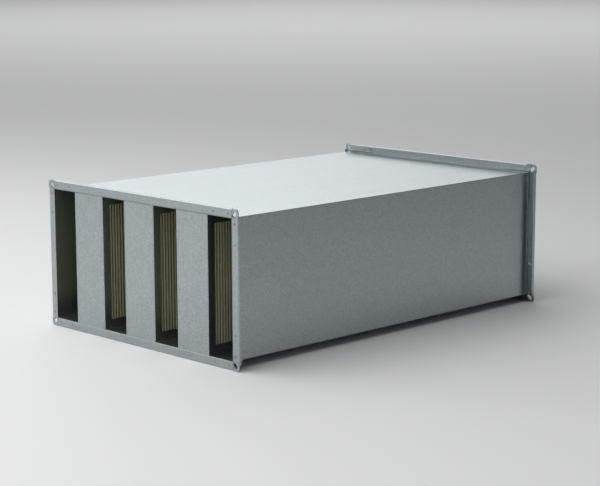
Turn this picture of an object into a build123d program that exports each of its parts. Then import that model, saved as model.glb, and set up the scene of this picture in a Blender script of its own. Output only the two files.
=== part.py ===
from build123d import *
import os

# Rectangular duct sound attenuator, in millimetres.
# X runs across the duct, Y along the air stream and Z up. The front flange face looks along -Y.
# The origin is under the middle of the body, level with the lower edge of the flanges.

# Duct and casing
duct_width = 600.0
duct_height = 300.0
body_length = 980.0          # from flange face to flange face
casing_sheet = 0.9
casing_bend = 0.6            # inner radius of the four folded edges
casing_setback = 0.3         # end of the casing sheet behind each flange face

# Flange profile, rolled from one strip
flange_height = 20.0         # from the duct's inner wall to the outer edge
profile_sheet = 1.0
profile_leg = 10.0           # leg that lies on the casing, behind the face
lip_depth = 9.5              # edge turned back along the outer side
hem_height = 4.7             # edge turned in again behind the face
lip_end_cut = 4.0            # slant of the lip's ends, back to the hem
outer_bend = 2.5             # centre-line radii of the bends
inner_bend = 0.8
hem_bend = 1.2

# Pressed corner piece
corner_sheet = 2.0
corner_leg = 78.0            # length of a leg along its inner edge, from the duct's inner corner
leg_lip_gap = 0.4            # from the outer edge of a leg to the profile's lip
corner_round = 8.0
corner_tuck = 4.0            # how far a leg runs in behind the square middle
corner_gap = 0.3             # to the casing, and to the upright profiles
leg_gap = 1.2                # from a profile's leg to the inner edge of a corner's leg
leg_inner_rim = 5.5          # depth of the rims along a leg's edges, behind the face
leg_outer_rim = 7.5
leg_bend = 1.3               # centre-line radius of a leg's bends
locating_place = 40.0        # small locating hole in each leg, from the duct's inner corner
locating_bore = 3.0
slot_width = 8.5
slot_length = 13.5
slot_centre = 7.8            # from the duct's inner walls, both ways

# Clinches: cups pressed from the profile's face into round holes in the corner legs
clinch_places = (11.0, 55.0)  # from the duct's inner corner, along each leg
clinch_row = 9.2             # from the duct's inner wall
clinch_bore = 4.0
clinch_mouth = 0.6           # radius of the rounded mouth
clinch_wall = 0.5
clinch_bottom = 0.4
clinch_back = 2.3            # depth of a cup's back behind the face
clinch_gap = 0.4             # between a cup and its hole in the leg

# Splitters
splitter_count = 3
splitter_thickness = 100.0
splitter_sheet = 0.8
splitter_bend = 2.0          # outer radius of the nose and tail edges
splitter_setback = 0.5       # nose behind the flange face
splitter_headroom = 0.6      # clearance under the casing's top
return_width = 20.0          # edge folded onto each side face, all round

# Mineral wool
rib_count = 120
rib_height = 3.4
rib_flat = 0.8               # flat floor between two ribs
wool_clearance = 0.2         # to the frame's nose, tail and top

# Worked out from the sizes above
duct_floor = flange_height
duct_middle = duct_floor + duct_height / 2
half_length = body_length / 2
airway = (duct_width - splitter_count * splitter_thickness) / (splitter_count + 1)
corner_start = casing_sheet + corner_gap
leg_inner_edge = casing_sheet + profile_sheet + leg_gap
leg_outer_edge = flange_height - profile_sheet - leg_lip_gap
duct_axis = Axis((0, 0, duct_middle), (0, 1, 0))
face_plane = Plane((0, 0, 0), x_dir=(1, 0, 0), z_dir=(0, -1, 0))

SIDES = {"top": 0, "right": 90, "bottom": 180, "left": 270}
CORNERS = {"top_right": (1, 1), "bottom_right": (1, -1), "bottom_left": (-1, -1), "top_left": (-1, 1)}


def at_end(solid, end):
    """The front end as built, the back end as its mirror image."""
    return solid if end == "front" else mirror(solid, about=Plane.XZ)


def block(x, y, z):
    """A box from its limits along each axis."""
    size = [high - low for low, high in (x, y, z)]
    return Pos(x[0], y[0], z[0]) * Box(*size, align=(Align.MIN, Align.MIN, Align.MIN))


def make_casing():
    """Folded sheet duct without ends."""
    inner = RectangleRounded(duct_width, duct_height, casing_bend)
    outer = RectangleRounded(
        duct_width + 2 * casing_sheet, duct_height + 2 * casing_sheet, casing_bend + casing_sheet
    )
    tube_length = body_length - 2 * casing_setback
    section = Plane.XZ.offset(-tube_length / 2) * (outer - inner)
    return Pos(0, 0, duct_middle) * extrude(section, tube_length)


def pin(along, out, radius, near, far):
    """A cylinder along Y from one depth behind the face to another, at a place beside the inner corner."""
    return Pos(along, (near + far) / 2, out) * Rot(90, 0, 0) * Cylinder(radius, far - near)


def profile_section():
    """Outline of the rolled strip: Y is the depth behind the face, Z the height above the inner wall."""
    half = profile_sheet / 2
    points = [
        (profile_leg, casing_sheet + half),
        (half, casing_sheet + half),
        (half, flange_height - half),
        (lip_depth - half, flange_height - half),
        (lip_depth - half, flange_height - hem_height),
    ]
    line = FilletPolyline(*points, radius=[inner_bend, outer_bend, hem_bend])
    return trace(line, line_width=profile_sheet)


def make_profile(side):
    """One length of flange profile on a side of the front end."""
    upright = side in ("left", "right")
    reach = (duct_width if upright else duct_height) / 2
    span = (duct_height if upright else duct_width) / 2
    half_run = span + casing_sheet if upright else span
    strip = extrude(Plane.YZ.offset(-half_run) * profile_section(), 2 * half_run)
    middles = [sign * (span - place) for sign in (-1, 1) for place in clinch_places]
    bore = clinch_bore / 2
    strip += [pin(x, clinch_row, bore + clinch_wall, profile_sheet / 2, clinch_back) for x in middles]
    strip -= [pin(x, clinch_row, bore, -profile_sheet, clinch_back - clinch_bottom) for x in middles]
    mouths = strip.edges().filter_by(GeomType.CIRCLE).group_by(Axis.Y)[0]
    strip = fillet(mouths, clinch_mouth)
    slant = Polyline(
        (half_run, profile_sheet), (half_run, lip_depth), (half_run - lip_end_cut, lip_depth), close=True
    )
    offcut = extrude(Plane.XY.offset(flange_height / 2) * make_face(slant), flange_height)
    strip -= [offcut, mirror(offcut, about=Plane.YZ)]
    strip = Pos(0, -half_length, duct_middle + reach) * strip
    return strip.rotate(duct_axis, SIDES[side])


def corner_plate():
    """Square middle of a corner piece, seen from the duct's inner corner."""
    size = flange_height - corner_start
    middle = corner_start + size / 2
    square = Pos(middle, middle) * Rectangle(size, size)
    tip = square.vertices().sort_by(Axis((0, 0, 0), (1, 1, 0)))[-1]
    return extrude(face_plane * fillet(tip, corner_round), -corner_sheet)


def leg_section():
    """Outline of a corner leg, a channel: Y is the depth behind the face, Z the height above the inner wall."""
    half = corner_sheet / 2
    points = [
        (leg_inner_rim, leg_inner_edge + half),
        (profile_sheet + half, leg_inner_edge + half),
        (profile_sheet + half, leg_outer_edge - half),
        (leg_outer_rim, leg_outer_edge - half),
    ]
    return trace(FilletPolyline(*points, radius=leg_bend), line_width=corner_sheet)


def corner_legs():
    """The two legs of a corner piece, which lie behind the faces of the profiles."""
    leg = extrude(Plane.YZ.offset(-corner_leg) * leg_section(), corner_leg + corner_start + corner_tuck)
    height = leg_outer_edge - leg_inner_edge
    slant = Polyline((0, 0), (height, height), (0, height), close=True)
    plane = Plane((-corner_leg, 0, leg_inner_edge), x_dir=(1, 0, 0), z_dir=(0, -1, 0))
    leg -= extrude(plane * make_face(slant), -flange_height)
    cup_hole = clinch_bore / 2 + clinch_wall + clinch_gap
    leg -= [pin(-place, clinch_row, cup_hole, 0, leg_outer_rim) for place in clinch_places]
    leg -= pin(-locating_place, clinch_row, locating_bore / 2, 0, leg_outer_rim)
    diagonal = Plane((0, 0, 0), z_dir=(1, 0, -1))
    return leg + mirror(leg, about=diagonal)


def make_corner(right, up):
    """One corner piece of the front end; right and up are 1 or -1."""
    piece = corner_plate() + corner_legs()
    slot = Pos(slot_centre, slot_centre) * Rot(0, 0, 45) * SlotOverall(slot_length, slot_width)
    piece -= extrude(face_plane * slot, flange_height, both=True)
    if right < 0:
        piece = mirror(piece, about=Plane.YZ)
    if up < 0:
        piece = mirror(piece, about=Plane.XY)
    return Pos(right * duct_width / 2, -half_length, duct_middle + up * duct_height / 2) * piece


def splitter_centre(index):
    """X of a splitter's middle plane, counted from the left."""
    return -duct_width / 2 + airway + splitter_thickness / 2 + index * (airway + splitter_thickness)


def make_splitter_frame(index):
    """Folded sheet frame: nose, tail, top and bottom with returns onto both side faces."""
    half_run = half_length - splitter_setback
    top = duct_floor + duct_height - splitter_headroom
    half = splitter_thickness / 2
    shell = block((-half, half), (-half_run, half_run), (duct_floor, top))
    shell = fillet(shell.edges().filter_by(Axis.Z), splitter_bend)
    inner_half = half - splitter_sheet
    inner_run = half_run - splitter_sheet
    hollow = block(
        (-inner_half, inner_half), (-inner_run, inner_run), (duct_floor + splitter_sheet, top - splitter_sheet)
    )
    hollow = fillet(hollow.edges().filter_by(Axis.Z), splitter_bend - splitter_sheet)
    window = block(
        (-splitter_thickness, splitter_thickness),
        (-half_run + return_width, half_run - return_width),
        (duct_floor + return_width, top - return_width),
    )
    return Pos(splitter_centre(index), 0, 0) * (shell - hollow - window)


def make_wool(index):
    """Wool slab inside the frame, with upright rounded ribs showing in the side windows."""
    half_run = half_length - splitter_setback - splitter_sheet - wool_clearance
    face = splitter_thickness / 2 - splitter_sheet
    low = duct_floor + splitter_sheet
    high = duct_floor + duct_height - splitter_headroom - splitter_sheet - wool_clearance
    window = body_length - 2 * (splitter_setback + return_width)
    pitch = window / rib_count
    root = face - rib_height

    def ribbed_side(sign):
        edges = []
        for number in range(rib_count):
            start = -window / 2 + number * pitch
            foot, end = start + rib_flat / 2, start + pitch - rib_flat / 2
            edges.append(Line((sign * root, start), (sign * root, foot)))
            edges.append(
                ThreePointArc((sign * root, foot), (sign * face, start + pitch / 2), (sign * root, end))
            )
            edges.append(Line((sign * root, end), (sign * root, start + pitch)))
        return edges

    edges = ribbed_side(-1) + ribbed_side(1)
    for end in (-1, 1):
        corner = end * window / 2
        tip = end * half_run
        edges.append(
            Polyline(
                (-root, corner), (-face, corner), (-face, tip), (face, tip), (face, corner), (root, corner)
            )
        )
    slab = extrude(make_face(Curve() + edges), high - low)
    upright_edges = slab.edges().filter_by(Axis.Z).group_by(Axis.Y)
    slab = fillet(upright_edges[0] + upright_edges[-1], splitter_bend)
    return Pos(splitter_centre(index), 0, low) * slab


os.makedirs("parts", exist_ok=True)
export_step(make_casing(), "parts/casing.step")
for end in ("front", "back"):
    for side in SIDES:
        export_step(at_end(make_profile(side), end), f"parts/{end}_{side}_flange_profile.step")
    for name, (right, up) in CORNERS.items():
        export_step(at_end(make_corner(right, up), end), f"parts/{end}_{name}_corner_piece.step")
for index in range(splitter_count):
    export_step(make_splitter_frame(index), f"parts/splitter_frame_{index + 1}.step")
    export_step(make_wool(index), f"parts/mineral_wool_{index + 1}.step")
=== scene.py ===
import math

import bpy
from mathutils import Matrix, Vector, noise as smooth_noise


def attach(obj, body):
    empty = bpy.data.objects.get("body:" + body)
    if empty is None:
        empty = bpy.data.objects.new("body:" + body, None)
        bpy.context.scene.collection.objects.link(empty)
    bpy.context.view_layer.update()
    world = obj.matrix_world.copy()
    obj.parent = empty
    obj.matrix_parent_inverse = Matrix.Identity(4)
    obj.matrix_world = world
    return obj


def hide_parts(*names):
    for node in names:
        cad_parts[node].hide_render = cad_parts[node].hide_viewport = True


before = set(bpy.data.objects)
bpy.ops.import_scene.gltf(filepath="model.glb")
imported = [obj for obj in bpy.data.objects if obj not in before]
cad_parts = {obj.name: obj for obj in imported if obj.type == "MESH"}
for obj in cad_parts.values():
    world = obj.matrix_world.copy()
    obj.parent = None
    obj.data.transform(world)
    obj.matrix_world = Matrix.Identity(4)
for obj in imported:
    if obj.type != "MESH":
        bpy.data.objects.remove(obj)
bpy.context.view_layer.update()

# Everything is in metres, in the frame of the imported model: X across the duct, Y along it, Z up.


# Sizes of the patterns in the materials: densities along a metre, depths in metres

spangle_density = 190.0
spangle_wander = 0.004       # how far the crystals' borders wander
mottle_density = 420.0
cloud_density = 7.0
tone_swing = 0.23            # of the zinc's colour, to both sides
sheet_relief = 0.0002
upright_fibres = (2400, 2400, 300)
crossed_fibres = (2000, 500, 2200)
lump_density = 90.0
fibre_relief = 0.0005


# Materials


def make_material(name):
    """An empty node material: its node tree and its Principled shader."""
    material = bpy.data.materials.new(name)
    material.use_nodes = True
    tree = material.node_tree
    return material, tree, tree.nodes["Principled BSDF"]


def add(tree, kind, **settings):
    """A node of that kind, with plain settings and input values given by name."""
    made = tree.nodes.new(kind)
    for name, value in settings.items():
        if hasattr(made, name):
            setattr(made, name, value)
        else:
            made.inputs[name.replace("_", " ")].default_value = value
    return made


def link(tree, source, target):
    tree.links.new(source, target)


def object_coordinates(tree, stretch=(1, 1, 1)):
    """Points of the row frame, stretched along the axes to draw out a pattern."""
    place = add(tree, "ShaderNodeTexCoord")
    mapping = add(tree, "ShaderNodeMapping", Scale=stretch)
    link(tree, place.outputs["Object"], mapping.inputs["Vector"])
    return mapping.outputs["Vector"]


def noise(tree, where, scale, detail=2.0, roughness=0.5):
    made = add(tree, "ShaderNodeTexNoise", Scale=scale, Detail=detail, Roughness=roughness)
    link(tree, where, made.inputs["Vector"])
    return made.outputs["Fac"]


def spread(tree, value, low, high):
    """A 0 to 1 value spread over low to high."""
    made = add(tree, "ShaderNodeMapRange", clamp=True)
    made.inputs["To Min"].default_value = low
    made.inputs["To Max"].default_value = high
    link(tree, value, made.inputs["Value"])
    return made.outputs["Result"]


def combine(tree, operation, values):
    """The sum or product of several values."""
    result, *others = values
    for value in others:
        made = add(tree, "ShaderNodeMath", operation=operation)
        link(tree, result, made.inputs[0])
        link(tree, value, made.inputs[1])
        result = made.outputs["Value"]
    return result


def total(tree, *values):
    return combine(tree, "ADD", values)


def product(tree, *values):
    return combine(tree, "MULTIPLY", values)


def ramp(tree, value, stops):
    """A colour ramp from (position, colour) stops."""
    made = add(tree, "ShaderNodeValToRGB")
    elements = made.color_ramp.elements
    for element, (position, colour) in zip(elements, stops):
        element.position = position
        element.color = (*colour, 1)
    link(tree, value, made.inputs["Fac"])
    return made.outputs["Color"]


def galvanised_steel(name, zinc, roughness, rolling):
    """Hot-dip galvanised sheet: fine faint spangle, mottle, soft clouds and rolling lines."""
    material, tree, shader = make_material(name)
    shader.inputs["Metallic"].default_value = 1.0
    where = object_coordinates(tree)

    wobble = add(tree, "ShaderNodeTexNoise", Scale=spangle_density, Detail=1.0)
    link(tree, where, wobble.inputs["Vector"])
    shifted = add(tree, "ShaderNodeVectorMath", operation="MULTIPLY_ADD")
    shifted.inputs[1].default_value = (spangle_wander,) * 3
    link(tree, wobble.outputs["Color"], shifted.inputs[0])
    link(tree, where, shifted.inputs[2])
    crystals = add(tree, "ShaderNodeTexVoronoi", Scale=spangle_density)
    link(tree, shifted.outputs["Vector"], crystals.inputs["Vector"])
    crystal = add(tree, "ShaderNodeSeparateColor")
    link(tree, crystals.outputs["Color"], crystal.inputs["Color"])

    clouds = noise(tree, where, cloud_density, detail=3.0)
    mottle = noise(tree, where, mottle_density, detail=1.0)
    lines = noise(tree, object_coordinates(tree, rolling), 1.0, detail=2.0)

    tone = total(
        tree,
        spread(tree, crystal.outputs["Red"], 0.08, 0.22),
        spread(tree, mottle, -0.55, 0.95),
        spread(tree, clouds, 0.0, 0.12),
        spread(tree, lines, 0.0, 0.18),
    )
    dark = [(1 - tone_swing) * channel for channel in zinc]
    light = [(1 + tone_swing) * channel for channel in zinc]
    link(tree, ramp(tree, tone, ((0.0, dark), (1.0, light))), shader.inputs["Base Color"])

    shine = total(
        tree,
        spread(tree, crystal.outputs["Green"], roughness - 0.01, roughness + 0.01),
        spread(tree, clouds, -0.02, 0.02),
    )
    link(tree, shine, shader.inputs["Roughness"])

    relief = total(tree, spread(tree, clouds, 0.0, 0.9), spread(tree, mottle, 0.0, 0.1))
    bump = add(tree, "ShaderNodeBump", Strength=0.1, Distance=sheet_relief)
    link(tree, relief, bump.inputs["Height"])
    link(tree, bump.outputs["Normal"], shader.inputs["Normal"])
    return material


def mineral_wool(name, dark, light):
    """Bonded mineral wool: fine tangled fibres and small lumps, with painted shade darkening it down in
    the grooves.
    """
    material, tree, shader = make_material(name)
    shader.inputs["Roughness"].default_value = 0.95
    shader.inputs["Specular IOR Level"].default_value = 0.1
    upright = noise(tree, object_coordinates(tree, upright_fibres), 1.0, detail=3.0, roughness=0.6)
    across = noise(tree, object_coordinates(tree, crossed_fibres), 1.0, detail=3.0, roughness=0.6)
    lumps = noise(tree, object_coordinates(tree), lump_density, detail=3.0)
    fibres = total(tree, spread(tree, upright, 0.0, 0.25), spread(tree, across, 0.0, 0.25))
    rise = add(tree, "ShaderNodeAttribute", attribute_name="rise")
    # painted shade: the rise of the ribbed surface darkens the colour towards the bottoms of the grooves
    tone = total(tree, fibres, spread(tree, lumps, 0.0, 0.2), spread(tree, rise.outputs["Fac"], -0.6, 0.3))
    link(tree, ramp(tree, tone, ((0.0, dark), (0.85, light))), shader.inputs["Base Color"])
    bump = add(tree, "ShaderNodeBump", Strength=0.4, Distance=fibre_relief)
    link(tree, fibres, bump.inputs["Height"])
    link(tree, bump.outputs["Normal"], shader.inputs["Normal"])
    return material


def plain_floor(name, lighting, seen):
    """A matte floor: one grey level that lights the part, and one that the camera sees."""
    material, tree, shader = make_material(name)
    path = add(tree, "ShaderNodeLightPath")
    level = spread(tree, path.outputs["Is Camera Ray"], lighting, seen)
    link(tree, level, shader.inputs["Base Color"])
    shader.inputs["Roughness"].default_value = 0.9
    shader.inputs["Specular IOR Level"].default_value = 0.1
    return material


zinc = (0.45, 0.495, 0.51)
casing_steel = galvanised_steel("casing_steel", zinc, 0.31, (25, 3, 400))
profile_steel = galvanised_steel("profile_steel", zinc, 0.31, (6, 300, 300))
corner_steel = galvanised_steel("corner_steel", zinc, 0.33, (60, 60, 60))
frame_steel = galvanised_steel("frame_steel", zinc, 0.31, (300, 25, 3))
# the wool's dark colour is mostly the painted shade at the bottom of the grooves
wool = mineral_wool("mineral_wool", (0.05, 0.05, 0.03), (0.58, 0.57, 0.36))

for name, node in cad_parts.items():
    if name == "casing":
        finish = casing_steel
    elif name.endswith("flange_profile"):
        finish = profile_steel
    elif name.endswith("corner_piece"):
        finish = corner_steel
    elif name.startswith("splitter_frame"):
        finish = frame_steel
    else:
        finish = wool
    node.data.materials.clear()
    node.data.materials.append(finish)


# Mineral wool slabs, with slightly uneven ribs

rib_count = 120
rib_window = 0.939           # length of the ribbed stretch, in the middle of the slab
rib_share = 0.84             # of the pitch that a rib takes; the rest is groove
groove_depth = 0.0052        # below the crests
rib_points = 11              # along one rounded rib
slab_levels = 24
rib_sway = 0.0003            # how far a rib wanders along the slab
rib_sink = 0.0005            # how far a crest may sink
steady_end = 0.0034          # stretch at each end of the window where the ribs keep still
sway_grain = (60, 14)        # how quickly the sway changes along Y and Z
slab_round = 0.002           # chamfer on the slab's four upright edges


def ribbed_line():
    """(Y, depth under the crests) along one side: flat ends, and rounded ribs between them."""
    pitch = rib_window / rib_count
    half_chord = rib_share * pitch / 2
    line = [(-rib_window / 2, 0.0), (-rib_window / 2, groove_depth)]
    for number in range(rib_count):
        crest = -rib_window / 2 + (number + 0.5) * pitch
        for step in range(rib_points):
            angle = math.pi / 2 * (2 * step / (rib_points - 1) - 1)
            line.append((crest + half_chord * math.sin(angle), groove_depth * (1 - math.cos(angle))))
    return line + [(rib_window / 2, groove_depth), (rib_window / 2, 0.0)]


def wool_slab(node, index):
    """A slab in the place of its CAD solid, its ribs pressed and shifted a little at random."""
    corners = [node.matrix_world @ vertex.co for vertex in node.data.vertices]
    low = [min(corner[axis] for corner in corners) for axis in range(3)]
    high = [max(corner[axis] for corner in corners) for axis in range(3)]
    middle = (low[0] + high[0]) / 2
    face = (high[0] - low[0]) / 2
    line = [
        (low[1], slab_round),
        (low[1] + slab_round, 0.0),
        *ribbed_line(),
        (high[1] - slab_round, 0.0),
        (high[1], slab_round),
    ]

    vertices, rises, faces = [], [], []
    for level in range(slab_levels + 1):
        z = low[2] + (high[2] - low[2]) * level / slab_levels
        for side in (-1, 1):
            for y, depth in line:
                seed = Vector((index * 10 + side, y * sway_grain[0], z * sway_grain[1]))
                ribbed = abs(y) < rib_window / 2 - steady_end
                sway = rib_sway * smooth_noise.noise(seed) if ribbed else 0.0
                sink = rib_sink * abs(smooth_noise.noise(seed * 1.7)) if ribbed else 0.0
                vertices.append((middle + side * (face - max(depth, sink)), y + sway, z))
                rises.append(1 - depth / groove_depth)
    count = len(line)
    ring = 2 * count
    for level in range(slab_levels):
        below, above = level * ring, (level + 1) * ring
        for step in range(count - 1):
            left, right = step, count + step
            faces.append((below + left, above + left, above + left + 1, below + left + 1))
            faces.append((below + right, below + right + 1, above + right + 1, above + right))
        last = count - 1
        faces.append((below, below + count, above + count, above))
        faces.append((below + last, above + last, above + count + last, below + count + last))
    top = slab_levels * ring
    for step in range(count - 1):
        faces.append((step, step + 1, count + step + 1, count + step))
        faces.append((top + step, top + count + step, top + count + step + 1, top + step + 1))

    mesh = bpy.data.meshes.new(f"wool_slab_{index}")
    mesh.from_pydata(vertices, [], faces)
    mesh.shade_smooth()
    # the rise drives the painted groove shade in the wool's colour
    mesh.attributes.new("rise", "FLOAT", "POINT").data.foreach_set("value", rises)
    mesh.materials.append(wool)
    slab = bpy.data.objects.new(f"wool_slab_{index}", mesh)
    bpy.context.scene.collection.objects.link(slab)
    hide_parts(f"mineral_wool_{index}")
    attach(slab, "root")


for index in (1, 2, 3):
    wool_slab(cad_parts[f"mineral_wool_{index}"], index)


# Stage and light

floor_size = 60.0
floor_lighting = 0.80        # grey level that lights the part
floor_seen = 0.92            # grey level that the camera sees

bpy.ops.mesh.primitive_plane_add(size=floor_size)
floor = bpy.context.object
floor.name = "floor"
floor.data.materials.append(plain_floor("pale_floor", floor_lighting, floor_seen))

scene = bpy.context.scene
scene.world = bpy.data.worlds.new("studio")
scene.world.use_nodes = True


def smooth_step(tree, value, low, high, top=1.0):
    """0 below low, rising smoothly to top above high."""
    made = add(tree, "ShaderNodeMapRange", interpolation_type="SMOOTHSTEP")
    made.inputs["From Min"].default_value = low
    made.inputs["From Max"].default_value = high
    made.inputs["To Max"].default_value = top
    link(tree, value, made.inputs["Value"])
    return made.outputs["Result"]


def glow(tree, azimuth, width, rising, fading, radiance):
    """A soft bright band of the surroundings: azimuth 0 is +Y and 90 is +X, and the band rises and fades
    between two heights each, all in degrees."""
    direction = add(tree, "ShaderNodeTexCoord").outputs["Generated"]
    turn = math.radians(azimuth)
    facing = add(tree, "ShaderNodeVectorMath", operation="DOT_PRODUCT")
    facing.inputs[1].default_value = (math.sin(turn), math.cos(turn), 0)
    link(tree, direction, facing.inputs[0])
    edge, core = math.cos(math.radians(width)), math.cos(math.radians(width / 2))
    beside = smooth_step(tree, facing.outputs["Value"], edge, core)
    axes = add(tree, "ShaderNodeSeparateXYZ")
    link(tree, direction, axes.inputs["Vector"])
    heights = [math.sin(math.radians(height)) for height in (*rising, *fading)]
    above = smooth_step(tree, axes.outputs["Z"], heights[0], heights[1], radiance)
    below = smooth_step(tree, axes.outputs["Z"], heights[3], heights[2])
    return product(tree, beside, product(tree, above, below))


def light_surroundings(tree, ambient, bands):
    """Even ambient light with soft bright bands."""
    level = add(tree, "ShaderNodeValue").outputs["Value"]
    level.default_value = ambient
    for band in bands:
        level = total(tree, level, glow(tree, **band))
    background = tree.nodes["Background"]
    background.inputs["Color"].default_value = (0.99, 1.0, 1.01, 1)
    link(tree, level, background.inputs["Strength"])


ambient_light = 0.15
left_band = {"azimuth": -80, "width": 58, "rising": (3, 11), "fading": (18, 32), "radiance": 1.42}
front_left_band = {"azimuth": -135, "width": 60, "rising": (2, 20), "fading": (60, 89), "radiance": 0.35}
light_surroundings(scene.world.node_tree, ambient_light, (left_band, front_left_band))


def softbox(name, centre, target, size, radiance):
    """A rectangular lamp of a given brightness, facing the target."""
    width, height = size
    lamp = bpy.data.lights.new(name, "AREA")
    lamp.shape = "RECTANGLE"
    lamp.size, lamp.size_y = width, height
    lamp.energy = radiance * math.pi * width * height
    holder = bpy.data.objects.new(name, lamp)
    scene.collection.objects.link(holder)
    aim = Vector(target) - Vector(centre)
    holder.matrix_world = Matrix.Translation(centre) @ aim.to_track_quat("-Z", "Y").to_matrix().to_4x4()
    holder.visible_camera = False


softbox(
    "overhead_softbox",
    centre=(-1.0, -2.3, 2.6),
    target=(-0.7, -1.8, 0.0),
    size=(6.0, 4.5),
    radiance=1.5,
)
softbox(
    "background_softbox",
    centre=(-10.0, 10.0, 7.0),
    target=(-10.0, 10.1, 0.0),
    size=(14.0, 14.0),
    radiance=0.75,
)


# Camera, as found from the photograph's own lines

camera_place = (2.87767, -2.82734, 0.88508)
camera_azimuth = math.radians(45.5)      # 0 looks along +Y, 90 along -X
camera_tilt = math.radians(10.05)        # below the horizon
camera_roll = math.radians(-0.15)
focal_pixels = 1729.05
photo_width = 600
sensor_width = 36.0

camera = bpy.data.objects.new("camera", bpy.data.cameras.new("camera"))
scene.collection.objects.link(camera)
forward = Vector((
    -math.sin(camera_azimuth) * math.cos(camera_tilt),
    math.cos(camera_azimuth) * math.cos(camera_tilt),
    -math.sin(camera_tilt),
))
right = forward.cross(Vector((0, 0, 1))).normalized()
up = right.cross(forward)
turned_right = right * math.cos(camera_roll) + up * math.sin(camera_roll)
turned_up = up * math.cos(camera_roll) - right * math.sin(camera_roll)
turn = Matrix((turned_right, turned_up, -forward)).transposed()
camera.matrix_world = Matrix.Translation(camera_place) @ turn.to_4x4()
camera.data.sensor_width = sensor_width
camera.data.lens = focal_pixels * sensor_width / photo_width
camera.data.clip_end = 100.0
scene.camera = camera
scene.view_settings.view_transform = "Standard"
